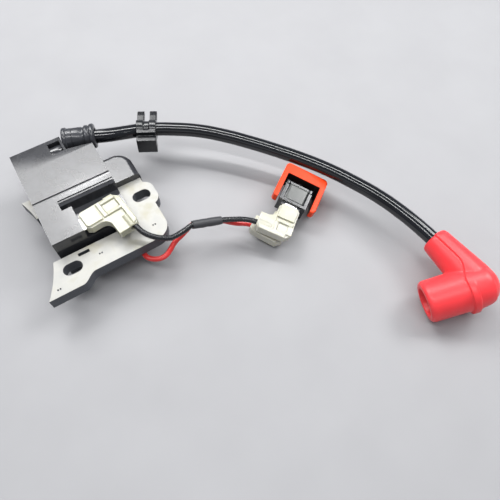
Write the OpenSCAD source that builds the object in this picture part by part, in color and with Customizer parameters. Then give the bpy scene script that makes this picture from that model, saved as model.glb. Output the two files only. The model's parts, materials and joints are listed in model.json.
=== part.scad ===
// Ignition coil module for a small two-stroke engine: a potted coil on a U-shaped
// laminated core, a high-tension lead with a right-angled plug boot, and a pair of
// stop wires that end in a spring-loaded stop switch. Millimetres, Z up.
// X runs across the core's two legs, Y along them towards the yoke.
// The origin is the middle of the coil module's footprint, on the bench.

/* [Core] */
// Length of the core along its legs
core_l = 66; // [64:1:70]
// Width of the leg that carries the coil
leg_a_w = 12.5; // [12:0.5:13]
// Width of the outer leg
leg_b_w = 13.5; // [13:0.5:14]
// Thickness of the lamination stack
core_t = 6.5; // [6:0.5:6.5]
// Height of the underside of the core above the bench
core_z = 12.5; // [12:0.5:13]
// Radius of the flywheel that the pole faces follow
flywheel_r = 60; // [56:1:70]
// Width of each mounting slot, for an M5 screw
slot_w = 6; // [5.4:0.1:6.4]
// End-to-end length of each mounting slot
slot_l = 9; // [8:0.5:10]

/* [Housing] */
// Size of the housing across the legs
case_w = 58.5; // [58:0.5:59]
// Size of the housing along the legs
case_d = 38; // [37.5:0.5:38.5]
// Height of the flat top of the housing
case_h = 29; // [28.5:0.5:30]
// How far the front part of the top lies below the flat top
case_step = 0.5; // [0.3:0.1:1]
// Wall thickness of the housing
case_wall = 2.5; // [2:0.5:3]

/* [Lead and boot] */
// Outer diameter of the high-tension lead
lead_d = 7; // [6.5:0.1:7]
// Outer diameter of the boot at its mouth
boot_d = 20; // [19:0.5:21]
// Diameter of the bore that takes the spark plug's insulator
plug_bore_d = 13; // [12:0.5:14]
// Distance from the boot's elbow to its mouth
boot_reach = 24.8; // [24.4:0.2:26]
// Distance from the boot's elbow to the end of its lead inlet
boot_inlet = 29; // [28:0.5:30]

/* [Stop wires] */
// Outer diameter of each stop wire
wire_d = 2.6; // [2.2:0.1:2.6]
// Width of the spade blades
blade_w = 6.3; // [6.3:0.1:6.3]
// Thickness of the spade blades
blade_t = 0.8; // [0.8:0.1:0.8]
// Thickness of each insulating flag cover
flag_t = 5.2; // [5:0.1:5.4]
// Length of the flag cover on the coil
coil_flag_l = 20.5; // [20:0.5:21]
// Length of each flag cover on the switch
switch_flag_l = 18; // [17.5:0.5:18.5]

/* [Stop switch] */
// Width of the push cap
cap_w = 23; // [22.6:0.2:23.4]
// Length of the push cap, with its cheeks
cap_l = 21.5; // [20:0.5:21.5]
// Height of the push cap's face
cap_h = 12.4; // [12:0.2:12.6]
// Travel of the push cap
cap_travel = 2.5; // [1.5:0.1:2.6]

/* [Hidden] */
$fn = 48;
eps = 0.01;
clear = 0.3;

// ---- places that several parts share ----
core_top = core_z + core_t;
core_mid = core_z + core_t / 2;
leg_a_x = -10.75;
leg_b_x = 28.25;
leg_b_in = leg_b_x - leg_b_w / 2;
leg_b_out = leg_b_x + leg_b_w / 2;
foot_x = 39;
yoke_y = 29.5;
yoke_in = 17;
tip_r = 8;
ear_c = [9, 25.5];
ear_w = 14.6;
ear_r = 5;
foot_slot = [28.7, -17.9];
flywheel_x = 4.5;
flywheel_y = -core_l / 2 - sqrt(pow(flywheel_r, 2) - pow(foot_x - flywheel_x, 2));

case_x0 = -39;
case_x1 = case_x0 + case_w;
case_y0 = yoke_in - case_d;
case_y1 = yoke_in;
case_front_h = case_h - case_step;
step_x = -5;
cave_x0 = case_x0 + case_wall;
cave_x1 = case_x1 - case_wall;
cave_y0 = case_y0 + case_wall;
cave_y1 = case_y1 - case_wall;
cave_h = 24.2;
cave_low_h = 19.8;
cave_step_x = 0.8;
resin_t = 3.4;
flag_seat_z = 21.8;
flag_seat_y = -5.9;
trough_x0 = -1.4;
trough_x1 = 4.6;

outlet = [-38, 6, 25];
outlet_az = 69;
grommet_l = 16;
pin_r = 0.5;
pin_back = 1.2;

clip_c = [-26.9, 46, 20];
clip_az = 63;

elbow = [130, 133.8, 15.2];
mouth_az = -108;
mouth_dip = -14;
inlet_az = -178;

sw_c = [35.9, 104.8, 8.6];
sw_az = -54.7;
sw_roll = -12.5;
blade_gap = 3.3;
body_u0 = 8.8;
body_v = -0.6;
body_l = 12.3;
body_w = 14.6;
body_h = 11;
body_wall = 1.8;
flag_u = 23.1;
upper_turn = 3;
lower_turn = -3;
bridge_t = 0.8;
bridge_h = 7.2;
stem_r = 1.8;

flag_w = 10.6;
coil_wing_w = 10.2;
coil_wing_y = -15.5;
switch_wing_w = 9;
switch_wing_y = -12.4;
wire_inset = 3.4;
blade_in = 9;
blade_root = 3.4;
blade_drop = 6.6;
coil_flag = [14.8, -4.9, 26.1];
coil_flag_turn = 96.9;

ground_c = [28.3, 24.5, core_z];

// ---- routes of the lead and the wires, in round numbers ----
lead_route = [
    [-38, 6, 25], [-36.2, 10.8, 25], [-34.3, 15.6, 24.8], [-32.3, 21, 24.3],
    [-30.6, 27, 23.4], [-29.3, 34.5, 22], [-26.9, 46, 20], [-20.4, 59, 18.9],
    [-12.9, 70, 18.2], [-3.7, 79.8, 17.6], [7, 89.2, 17.1], [18.2, 98, 16.7],
    [29.5, 106.2, 16.3], [41.7, 113.8, 16], [54.9, 120.3, 15.8], [68, 125.7, 15.6],
    [81.4, 129.5, 15.4], [93.3, 131.7, 15.3], [102.6, 132.8, 15.2], [111, 133.1, 15.2],
    [119.5, 133.4, 15.2]
];
black_route = [
    [21.2, 13.1, 26.1], [24.2, 13.5, 26.1], [28.1, 15.1, 26], [31.5, 16.3, 25.1],
    [34.1, 18.3, 23.7], [35.9, 20.7, 22.4], [37.3, 23.3, 21.3], [38.4, 26.2, 20.3],
    [38.3, 29.3, 19.6], [37.8, 32.1, 19.1], [37.2, 35, 18.7], [36.5, 39, 18.4],
    [38.3, 45.8, 17.3], [40.1, 52.5, 16.2], [41, 54.9, 16], [42.4, 57.5, 15.9],
    [43.8, 60.5, 15.5], [45.3, 63, 15.1], [48.9, 67, 14.5], [50.7, 68.5, 13.9],
    [52.9, 70.2, 13.3]
];
red_route = [
    [28.3, 21, 10.9], [28.3, 18, 10.9], [29.6, 15.4, 10.9], [32.3, 13.6, 10.9],
    [35.7, 13.4, 10.9], [38, 14.6, 10.9], [39.6, 16.7, 10.9], [40.5, 19.2, 10.9],
    [40.3, 21.9, 11], [39, 24.6, 11.3], [37.5, 27.1, 11.9], [36.6, 29.7, 12.9],
    [36.2, 32.8, 14.1], [35.6, 35.7, 15.2], [34.9, 39, 16], [36.7, 45.8, 14.9],
    [38.5, 52.5, 13.8], [39.7, 54.6, 13], [41.5, 57.2, 12], [42.9, 59.9, 10.9],
    [43.9, 62.9, 9.6], [45.7, 65.7, 8.5], [47.6, 67, 7.9], [49.9, 68.4, 7.3]
];

// ---- helpers ----
function unit(v) = v / norm(v);
function tangent(route, i) =
    unit(route[min(i + 1, len(route) - 1)] - route[max(i - 1, 0)]);
function side(t) = unit(cross(t, [0, 0, 1]));
function ring(p, t, r, n) = [
    for (k = [0 : n - 1])
        p + r * cos(360 * k / n) * side(t) + r * sin(360 * k / n) * cross(side(t), t)
];

// A solid tube through the points of a route.
module tube(route, d, n) {
    rings = len(route);
    points = [for (i = [0 : rings - 1]) each ring(route[i], tangent(route, i), d / 2, n)];
    walls = [
        for (i = [0 : rings - 2], k = [0 : n - 1])
            let (a = i * n + k, b = i * n + (k + 1) % n) [a, b, b + n, a + n]
    ];
    start = [[for (k = [n - 1 : -1 : 0]) k]];
    end = [[for (k = [0 : n - 1]) (rings - 1) * n + k]];
    polyhedron(points, concat(walls, start, end), convexity = 6);
}

// Turns local Z to a level direction at the given azimuth.
module level(at, azimuth, rise = 0) {
    translate(at) rotate([0, 90 - rise, azimuth]) children();
}

module slot(c, length, width, h) {
    for (s = [-1, 1])
        translate([c[0], c[1] + s * (length - width) / 2, -h]) cylinder(d = width, h = 3 * h);
    translate([c[0] - width / 2, c[1] - (length - width) / 2, -h])
        cube([width, length - width, 3 * h]);
}

module box(x0, x1, y0, y1, z0, z1) {
    translate([x0, y0, z0]) cube([x1 - x0, y1 - y0, z1 - z0]);
}

// Points along an arc, for an outline.
function arc(c, r, from, to, steps) = [
    for (i = [0 : steps])
        let (a = from + (to - from) * i / steps) [c[0] + r * cos(a), c[1] + r * sin(a)]
];

// ---- core ----
// U-shaped outline with its ear and its foot; the pole faces follow the flywheel.
module core_outline() {
    bottom = -core_l / 2 - 4;
    leg_a_x0 = leg_a_x - leg_a_w / 2;
    leg_a_x1 = leg_a_x + leg_a_w / 2;
    ear_y = core_l / 2 - ear_r;
    ear_lean = 18;
    steps = 8;
    rise_from = -17;
    rise_to = -9.5;
    s_curve = [
        for (i = [0 : steps])
            let (t = i / steps)
                [foot_x - (foot_x - leg_b_out) * (1 - cos(180 * t)) / 2,
                 rise_from + (rise_to - rise_from) * t]
    ];
    difference() {
        polygon(concat(
            [[foot_x, bottom]],
            s_curve,
            arc([leg_b_out - tip_r, yoke_y - tip_r], tip_r, 0, 90, 8),
            arc([ear_c[0] + ear_w / 2 - ear_r, ear_y], ear_r, ear_lean, 90, 6),
            arc([ear_c[0] - ear_w / 2 + ear_r, ear_y], ear_r, 90, 180 - ear_lean, 6),
            [[ear_c[0] - ear_w / 2, yoke_y], [leg_a_x0, yoke_y], [leg_a_x0, bottom]],
            [[leg_a_x1, bottom], [leg_a_x1, yoke_in], [leg_b_in, yoke_in], [leg_b_in, bottom]]
        ));
        translate([flywheel_x, flywheel_y]) circle(r = flywheel_r, $fn = 180);
    }
}

module core_laminations() color([0.86, 0.86, 0.83]) {
    lock_w = 1.6;
    lock_l = 5.4;
    lock_depth = 0.5;
    locks = [[28.2, -4.1], [35.6, -27], [27.2, 23.4]];
    difference() {
        translate([0, 0, core_z]) linear_extrude(core_t, convexity = 6) core_outline();
        translate([0, 0, core_z]) slot(ear_c, slot_l, slot_w, core_t);
        translate([0, 0, core_z]) slot(foot_slot, slot_l, slot_w, core_t);
        // punched locating slot beside the coil
        box(23.1, 23.1 + lock_w, -13.4, -13.4 + lock_l, core_z - 1, core_top + 1);
        // pressed interlocks of the lamination stack
        for (p = locks)
            translate([p[0] - 1.1, p[1] - 0.7, core_top - lock_depth]) cube([2.2, 1.4, 1]);
    }
}

// ---- coil housing and its contents ----
// A cross section in X and Z, drawn out from y0 to y1.
module drawn_along_y(y0, y1) {
    translate([0, y1, 0]) rotate([90, 0, 0]) linear_extrude(y1 - y0, convexity = 6) children();
}

module housing_outer() {
    slope_x = -24.5;
    back_drop = 1.6;
    ridge_w = 0.8;
    ridge_h = 0.4;
    lobe_r = 8;
    lobe_x0 = leg_a_x - leg_a_w / 2 + 0.5 - case_wall;
    lobe_x1 = -1.2;
    lobe_y = yoke_y + 0.6;
    lobe_z = core_z - 5;
    lobe_h = 23;
    // block: sloping back, flat top, low ridge along the step, lower front
    drawn_along_y(case_y0, case_y1)
        polygon([
            [case_x0, 0], [case_x0, case_h - back_drop], [slope_x, case_h],
            [step_x - ridge_w, case_h], [step_x - ridge_w, case_h + ridge_h],
            [step_x, case_h + ridge_h], [step_x, case_front_h],
            [case_x1, case_front_h], [case_x1, 0]
        ]);
    // rounded lobe that covers the corner of the core
    translate([0, 0, lobe_z]) linear_extrude(lobe_h - lobe_z)
        polygon(concat(
            arc([lobe_x0 + lobe_r, lobe_y - lobe_r], lobe_r, 180, 90, 12),
            [[lobe_x1, lobe_y], [lobe_x1, case_y1 - 1], [lobe_x0, case_y1 - 1]]
        ));
}

// Collar that the lead's grommet butts against, flush with the back of the housing.
module outlet_collar() {
    intersection() {
        level(outlet, outlet_az) translate([0, 0, -3]) cylinder(r = 4.4, h = 3);
        box(case_x0, 0, case_y0, case_y1, 0, case_h);
    }
}

// Slots that hold the coil's spade blade, in the flag's own frame.
module blade_slots(fit) {
    slot_w = blade_w + 2 * fit;
    coil_flag_frame() {
        translate([-blade_root - fit, -slot_w / 2, -blade_t / 2 - fit])
            cube([blade_root + 2, slot_w, blade_t + 2 * fit]);
        translate([-blade_root - fit, -slot_w / 2, -blade_drop])
            cube([blade_t + 2 * fit, slot_w, blade_drop]);
    }
}

module coil_housing() color([0.16, 0.16, 0.18]) {
    fit = 0.1;
    difference() {
        union() {
            difference() {
                housing_outer();
                // recess for the grommet at the back corner
                translate([0, 0, 16]) linear_extrude(20)
                    polygon([[-50, 4.5], [-28.5, 4.5], [-25, 18], [-50, 18]]);
                // open pocket in the top beside the lead outlet
                box(-36.5, -28.4, -2.6, 3.4, 24.5, 30);
            }
            outlet_collar();
            // half-round boss in the pocket
            translate([-32.4, -4, 24.4]) rotate([-90, 0, 0]) cylinder(r = 3.6, h = 8);
        }
        // cavity, open at the bottom
        box(cave_x0, cave_x1, cave_y0, cave_y1, -1, 14);
        box(-25.5, cave_x1, cave_y0, cave_y1, 13.9, cave_low_h);
        box(-25.5, cave_step_x, cave_y0, cave_y1, cave_low_h - 1, cave_h);
        // passage for the core's leg and yoke
        box(leg_a_x - leg_a_w / 2 - fit, leg_a_x + leg_a_w / 2 + fit,
            case_y0 - 1, yoke_in + 1, core_z - fit, core_top + fit);
        box(leg_a_x - leg_a_w / 2 - fit, 10, yoke_in - fit, yoke_y + fit, core_z - fit, core_top + fit);
        box(leg_a_x + 1, 10, yoke_in - fit, yoke_y + 3, core_z - 6, core_z);
        // sloping trough, and the low seat that the flag cover lies over
        drawn_along_y(-10.6, case_y1 + 1)
            polygon([
                [trough_x0, 32], [trough_x0, 28], [cave_step_x + 0.4, 27.2],
                [trough_x1 - 2.4, flag_seat_z + 0.8], [trough_x1, flag_seat_z], [trough_x1, 32]
            ]);
        box(trough_x1 - 1, case_x1 + 1, flag_seat_y, case_y1 + 1, flag_seat_z, 32);
        blade_slots(0.05);
        // hole for the high-tension pin
        level(outlet, outlet_az) translate([0, 0, -pin_back]) cylinder(r = pin_r, h = pin_back + 1);
    }
}

module potting_compound() color([0.09, 0.09, 0.1])
    box(cave_x0, cave_x1, cave_y0, cave_y1, 0.6, 0.6 + resin_t);

// A rectangular tube around the coil's leg.
module sleeve_box(w, h, wall, y0, y1) {
    difference() {
        box(leg_a_x - w / 2 - wall, leg_a_x + w / 2 + wall, y0, y1,
            core_mid - h / 2 - wall, core_mid + h / 2 + wall);
        box(leg_a_x - w / 2, leg_a_x + w / 2, y0 - 1, y1 + 1, core_mid - h / 2, core_mid + h / 2);
    }
}

bob_gap = 0.1;
bob_wall = 0.8;
bob_w = leg_a_w + 2 * bob_gap;
bob_h = core_t + 2 * bob_gap;
prim_t = 1.6;
sec_w = bob_w + 2 * (bob_wall + prim_t);
sec_h = bob_h + 2 * (bob_wall + prim_t);
sec_t = 1.8;
sec_parts = 4;
flange_t = 0.8;

module primary_bobbin() color([0.85, 0.82, 0.7]) {
    sleeve_box(bob_w, bob_h, bob_wall, cave_y0, cave_y1);
    for (y = [cave_y0, cave_y1 - flange_t])
        sleeve_box(bob_w, bob_h, bob_wall + prim_t, y, y + flange_t);
}

module primary_winding() color([0.72, 0.35, 0.16])
    sleeve_box(bob_w + 2 * bob_wall, bob_h + 2 * bob_wall, prim_t,
               cave_y0 + flange_t, cave_y1 - flange_t);

module secondary_bobbin() color([0.9, 0.88, 0.78]) {
    pitch = (cave_y1 - cave_y0 - flange_t) / sec_parts;
    sleeve_box(sec_w, sec_h, bob_wall, cave_y0, cave_y1);
    for (i = [0 : sec_parts])
        sleeve_box(sec_w, sec_h, bob_wall + sec_t, cave_y0 + i * pitch, cave_y0 + i * pitch + flange_t);
}

module secondary_winding() color([0.62, 0.28, 0.12]) {
    pitch = (cave_y1 - cave_y0 - flange_t) / sec_parts;
    for (i = [0 : sec_parts - 1])
        sleeve_box(sec_w + 2 * bob_wall, sec_h + 2 * bob_wall, sec_t - 0.3,
                   cave_y0 + i * pitch + flange_t, cave_y0 + (i + 1) * pitch);
}

module storage_capacitor() color([0.85, 0.65, 0.15])
    box(cave_x0 + 0.5, cave_x0 + 8.5, -14, 8, 4.5, 13.5);

board_x0 = 4.5;
board_x1 = 16.5;
board_z = 5;
board_t = 1.6;

module igniter_board() color([0.1, 0.4, 0.2])
    box(board_x0, board_x1, -17, 13, board_z, board_z + board_t);

module igniter_components() {
    z = board_z + board_t;
    color([0.1, 0.1, 0.1]) box(board_x0 + 1, board_x0 + 11, -15.5, -7.5, z, z + 4.5);
    color([0.7, 0.2, 0.1]) box(board_x0 + 1, board_x0 + 6, -4, 3, z, z + 6);
    for (i = [0 : 2])
        color([0.75, 0.65, 0.45]) translate([board_x0 + 3, 5.5 + 2.6 * i, z + 1])
            rotate([0, 90, 0]) cylinder(r = 1, h = 6);
}

// ---- high-tension lead, grommet, clip ----
module ht_pin() color([0.8, 0.65, 0.3])
    level(outlet, outlet_az) translate([0, 0, -pin_back]) cylinder(r = pin_r, h = pin_back + 4);

module ht_grommet() color([0.12, 0.12, 0.14])
    level(outlet, outlet_az)
        difference() {
            union() {
                cylinder(r = 5.9, h = 3);
                cylinder(r = 5.3, h = grommet_l);
                translate([0, 0, grommet_l - 4.4]) cylinder(r = 5.8, h = 1.2);
                translate([0, 0, grommet_l - 2.2]) cylinder(r = 6.2, h = 2.2);
            }
            translate([0, 0, -1]) cylinder(d = lead_d + 0.02, h = grommet_l + 2);
        }

module ht_lead() color([0.05, 0.05, 0.06]) tube(lead_route, lead_d, 12);

module cable_clip() color([0.08, 0.08, 0.09])
    level(clip_c, clip_az, -3) {
        half_l = 5.1;
        band = 3.7;
        band_r = 5;
        for (z = [-half_l, half_l - band])
            difference() {
                union() {
                    translate([0, 0, z]) cylinder(r = band_r, h = band);
                    translate([-1.2, 2, z]) cube([2.8, 10.4, band]);
                }
                translate([0, 0, -10]) cylinder(d = lead_d + 0.02, h = 20);
            }
        // web that joins the two bands, and the block below it
        difference() {
            union() {
                translate([-3.8, -band_r, -half_l]) cube([7.6, 2, 2 * half_l]);
                translate([-1.5, -9.2, -half_l]) cube([9, 4.6, 2 * half_l]);
            }
            translate([0, 0, -10]) cylinder(d = lead_d + 0.02, h = 20);
        }
    }

// ---- spark plug boot ----
module boot_frame() {
    level(elbow, mouth_az, mouth_dip) children();
}

module inlet_frame() {
    level(elbow, inlet_az) children();
}

module spark_plug_boot() color([0.86, 0.16, 0.16]) {
    ring_r = 11;
    ring_from = 3.6;
    ring_w = 3.2;
    lip_h = 2;
    difference() {
        union() {
            boot_frame() {
                // socket and its lip
                translate([0, 0, 3])
                    cylinder(r1 = 10.2, r2 = boot_d / 2 - 0.2, h = boot_reach - lip_h - 3);
                translate([0, 0, boot_reach - lip_h - eps])
                    cylinder(r1 = boot_d / 2 - 0.2, r2 = 8.8, h = lip_h + eps);
                translate([0, 0, ring_from]) cylinder(r = ring_r, h = ring_w);
                // rounded elbow
                translate([0, 0, -3.4]) cylinder(r = 9.3, h = 7);
                translate([0, 0, -6.2]) cylinder(r1 = 6.8, r2 = 9.3, h = 2.81);
            }
            inlet_frame() {
                cylinder(r1 = 9.2, r2 = 6.9, h = boot_inlet - 1.5);
                translate([0, 0, boot_inlet - 1.5 - eps]) cylinder(r1 = 6.9, r2 = 5.6, h = 1.5 + eps);
            }
        }
        boot_frame() {
            translate([0, 0, 8]) cylinder(d = plug_bore_d, h = boot_reach);
            translate([0, 0, -2]) cylinder(r = 4.4, h = 12);
        }
        inlet_frame() translate([0, 0, 3]) cylinder(d = lead_d + 0.02, h = boot_inlet);
    }
}

module plug_terminal_clip() color([0.78, 0.78, 0.8])
    boot_frame()
        difference() {
            translate([0, 0, -1.6]) cylinder(r = 4.2, h = 9.2);
            translate([0, 0, 0]) cylinder(r = 3.2, h = 12);
            translate([-6, -0.6, 1]) cube([12, 1.2, 12]);
        }

module lead_spike() color([0.8, 0.75, 0.6])
    inlet_frame() translate([0, 0, 5]) cylinder(r = 0.6, h = 5.1);

// ---- spade terminals and flag covers ----
// Local frame of a flag: X from the blade's mouth along the barrel, wing towards -Y.
module coil_flag_frame() {
    translate(coil_flag) rotate([0, 0, coil_flag_turn]) children();
}

module switch_frame() {
    translate(sw_c) rotate([0, 0, sw_az]) rotate([sw_roll, 0, 0]) children();
}

// The switch's body and terminals sit a little to one side of the push cap's middle.
module body_frame() {
    switch_frame() translate([0, body_v, 0]) children();
}

module upper_flag_frame() {
    body_frame() translate([flag_u, 0, blade_gap]) rotate([0, 0, upper_turn]) children();
}

module lower_flag_frame() {
    body_frame() translate([flag_u + 0.5, -0.5, -blade_gap]) rotate([0, 0, lower_turn]) children();
}

// Outline of a flag cover of length l, whose wing is wing_w wide and ends at wing_y.
module flag_outline(l, wing_w, wing_y, inset = 0) {
    i = inset;
    b = flag_w / 2 - i;
    wing_x = l - wing_w + i;
    wing_end = wing_y + i;
    corner = 1.6;
    fillet = 4;
    polygon(concat(
        [[i, -b + 1.5 - i], [i, b - 1.4], [i + 1.4, b], [l - 2.6, b], [l - i, b - 2.6]],
        [[l - i, wing_end + corner], [l - corner - i, wing_end], [wing_x, wing_end]],
        arc([wing_x - fillet, -b - fillet], fillet, 0, 90, 5),
        [[i + 2, -b]]
    ));
}

module flag_cover(l, wing_w, wing_y) {
    shell = 0.9;
    difference() {
        translate([0, 0, -flag_t / 2]) linear_extrude(flag_t) flag_outline(l, wing_w, wing_y);
        translate([0, 0, -flag_t / 2 + shell])
            linear_extrude(flag_t - 2 * shell) flag_outline(l, wing_w, wing_y, shell);
        // mouth for the blade
        translate([-1, -blade_w / 2 - 0.3, -0.7]) cube([3, blade_w + 0.6, 1.4]);
        // hole for the wire
        translate([l - wire_inset, wing_y - 1, 0]) rotate([-90, 0, 0])
            cylinder(d = wire_d + 0.02, h = 4);
    }
}

// Crimped receptacle: rolled socket for the blade, arm, and crimp barrel for the wire.
module receptacle(l, wing_y) {
    base_z = -1.3;
    arm_y = -3.7;
    socket_w = 7.4;
    crimp_w = 3.2;
    crimp_y = wing_y + 4.2;
    difference() {
        translate([1.4, arm_y, base_z]) cube([9, socket_w, 2.6]);
        translate([0, -blade_w / 2 - 0.05, -0.42]) cube([9.2, blade_w + 0.1, 0.84]);
    }
    translate([10.3, arm_y, base_z]) cube([l - 12.5, 5.4, 0.8]);
    translate([l - wire_inset - crimp_w / 2, crimp_y, base_z])
        cube([crimp_w, arm_y + 0.1 - crimp_y, 2.6]);
}

module coil_receptacle() color([0.85, 0.8, 0.6])
    coil_flag_frame() receptacle(coil_flag_l, coil_wing_y);

module coil_flag_cover() color([0.93, 0.91, 0.78])
    coil_flag_frame() flag_cover(coil_flag_l, coil_wing_w, coil_wing_y);

module upper_receptacle() color([0.85, 0.8, 0.6])
    upper_flag_frame() receptacle(switch_flag_l, switch_wing_y);

module upper_flag_cover() color([0.93, 0.91, 0.78])
    upper_flag_frame() flag_cover(switch_flag_l, switch_wing_w, switch_wing_y);

module lower_receptacle() color([0.85, 0.8, 0.6])
    lower_flag_frame() receptacle(switch_flag_l, switch_wing_y);

module lower_flag_cover() color([0.93, 0.91, 0.78])
    lower_flag_frame() flag_cover(switch_flag_l, switch_wing_w, switch_wing_y);

module coil_blade() color([0.8, 0.8, 0.78])
    coil_flag_frame() {
        translate([-blade_root, -blade_w / 2, -blade_t / 2])
            cube([blade_root + blade_in, blade_w, blade_t]);
        translate([-blade_root, -blade_w / 2, -blade_drop])
            cube([blade_t, blade_w, blade_drop]);
    }

module ground_tab() color([0.8, 0.8, 0.78]) {
    tab_t = 0.8;
    difference() {
        union() {
            translate([ground_c[0], ground_c[1], core_z - tab_t]) cylinder(r = 4, h = tab_t);
            translate([ground_c[0] - 1.5, ground_c[1] - 6, core_z - tab_t]) cube([3, 6, tab_t]);
        }
        translate([ground_c[0], ground_c[1], core_z - 2]) cylinder(r = 1.5, h = 4);
    }
}

module ground_rivet() color([0.75, 0.75, 0.74]) {
    translate([ground_c[0], ground_c[1], core_z - 1.8]) cylinder(r = 2.4, h = 1);
    translate([ground_c[0], ground_c[1], core_z - 0.8 - eps]) cylinder(r = 1.45, h = 0.8);
}

// ---- stop wires ----
module black_wire() color([0.05, 0.05, 0.06]) tube(black_route, wire_d, 8);
module red_wire() color([0.8, 0.1, 0.1]) tube(red_route, wire_d, 8);

module wire_sleeve() color([0.12, 0.12, 0.13]) {
    from = [35.7, 39, 17.2];
    to = [39.3, 52.5, 15];
    d = to - from;
    length = norm(d);
    // the black wire lies over the red one, a little to its right
    roll = -57;
    level(from, atan2(d[1], d[0]), asin(d[2] / length)) rotate(roll)
        difference() {
            linear_extrude(length) stadium(3.9, 2.8);
            translate([0, 0, -1]) linear_extrude(length + 2) stadium(2.9, 2.8);
        }
}

module stadium(d, apart) {
    for (s = [-1, 1]) translate([0, s * apart / 2]) circle(d = d);
    square([d, apart], center = true);
}

// ---- stop switch ----
lid_t = body_wall;
bridge_u = body_u0 + body_wall + 0.05;
contact_u = bridge_u + bridge_t + cap_travel + 0.05;

module switch_body() color([0.1, 0.1, 0.11]) {
    inner_w = body_w - 2 * body_wall;
    block_l = 1.8;
    block_w = 10.4;
    body_frame()
        difference() {
            union() {
                translate([body_u0, -body_w / 2, -body_h / 2]) cube([body_l, body_w, body_h - lid_t]);
                // terminal block behind the body
                translate([body_u0 + body_l - eps, -block_w / 2, -body_h / 2 + 0.3])
                    cube([block_l + eps, block_w, body_h - lid_t - 0.3]);
            }
            translate([body_u0 + body_wall, -inner_w / 2, -body_h / 2 + body_wall])
                cube([body_l - 2 * body_wall, inner_w, body_h]);
            // guide hole for the push cap's stem
            translate([body_u0 - 1, 0, 0]) rotate([0, 90, 0]) cylinder(r = stem_r + 0.1, h = body_wall + 2);
            for (s = [-1, 1])
                translate([body_u0 + body_l - body_wall - 1, -blade_w / 2, s * blade_gap - blade_t / 2])
                    cube([6, blade_w, blade_t]);
        }
}

module switch_lid() color([0.3, 0.31, 0.33])
    body_frame()
        translate([body_u0, -body_w / 2, body_h / 2 - lid_t])
            cube([body_l, body_w, lid_t]);

module switch_cap() color([0.9, 0.28, 0.14]) {
    bar = 6.1;
    cheek = 2.8;
    cheek_end_h = 5;
    corner = 2.4;
    difference() {
        switch_frame() {
            translate([0, -cap_w / 2, -cap_h / 2]) cube([bar, cap_w, cap_h]);
            for (s = [-1, 1])
                translate([0, s * (cap_w / 2 - cheek / 2) + cheek / 2, 0]) rotate([90, 0, 0])
                    linear_extrude(cheek)
                        polygon([[bar - eps, -cap_h / 2], [bar - eps, cap_h / 2], [cap_l, cap_h / 2],
                                 [cap_l, cap_h / 2 - cheek_end_h], [bar + 3, -cap_h / 2]]);
        }
        // outer corners taken off
        switch_frame()
            for (s = [-1, 1])
                translate([0, s * cap_w / 2, 0]) rotate([0, 0, 45])
                    cube([corner, corner, 2 * cap_h], center = true);
    }
    // stem that carries the contact bridge
    body_frame() translate([bar - eps, 0, 0]) rotate([0, 90, 0]) cylinder(r = stem_r, h = bridge_u - bar);
}

module contact_bridge() color([0.82, 0.68, 0.3])
    body_frame() translate([bridge_u - eps, -4, -bridge_h / 2]) cube([bridge_t, 8, bridge_h]);

// Blade inside the switch; the part beyond the body belongs to the flag's frame.
module switch_blade(s) {
    body_frame()
        translate([contact_u, -blade_w / 2, s * blade_gap - blade_t / 2])
            cube([flag_u + 0.1 - contact_u, blade_w, blade_t]);
}

module blade_tip() {
    back = 0.35;
    translate([-back, -blade_w / 2, -blade_t / 2]) cube([back + blade_in, blade_w, blade_t]);
}

module upper_blade() color([0.8, 0.8, 0.78]) {
    switch_blade(1);
    upper_flag_frame() blade_tip();
}

module lower_blade() color([0.8, 0.8, 0.78]) {
    switch_blade(-1);
    lower_flag_frame() blade_tip();
}

module return_spring() color([0.7, 0.7, 0.72]) {
    turns = 5;
    from = bridge_u + bridge_t;
    to = body_u0 + body_l - body_wall;
    coil_r = 1.6;
    wire_r = 0.25;
    pitch = (to - from - 2 * wire_r) / turns;
    body_frame()
        for (i = [0 : turns])
            translate([from + wire_r + i * pitch, 0, 0]) rotate([0, 90, 0])
                rotate_extrude() translate([coil_r, 0]) circle(r = wire_r, $fn = 16);
}

core_laminations();
coil_housing();
potting_compound();
primary_bobbin();
primary_winding();
secondary_bobbin();
secondary_winding();
storage_capacitor();
igniter_board();
igniter_components();
ht_pin();
ht_grommet();
ht_lead();
cable_clip();
spark_plug_boot();
plug_terminal_clip();
lead_spike();
coil_blade();
coil_receptacle();
coil_flag_cover();
ground_tab();
ground_rivet();
black_wire();
red_wire();
wire_sleeve();
upper_receptacle();
upper_flag_cover();
lower_receptacle();
lower_flag_cover();
upper_blade();
lower_blade();
switch_body();
switch_lid();
switch_cap();
contact_bridge();
return_spring();
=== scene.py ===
"""Ignition coil with its high-tension lead, spark plug boot, stop wires and stop switch.

The visible pieces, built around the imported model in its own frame. Shapes are worked out in
millimetres and made in metres.
"""
import json
import math

import bmesh
import bpy
from mathutils import Matrix, Vector


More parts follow.
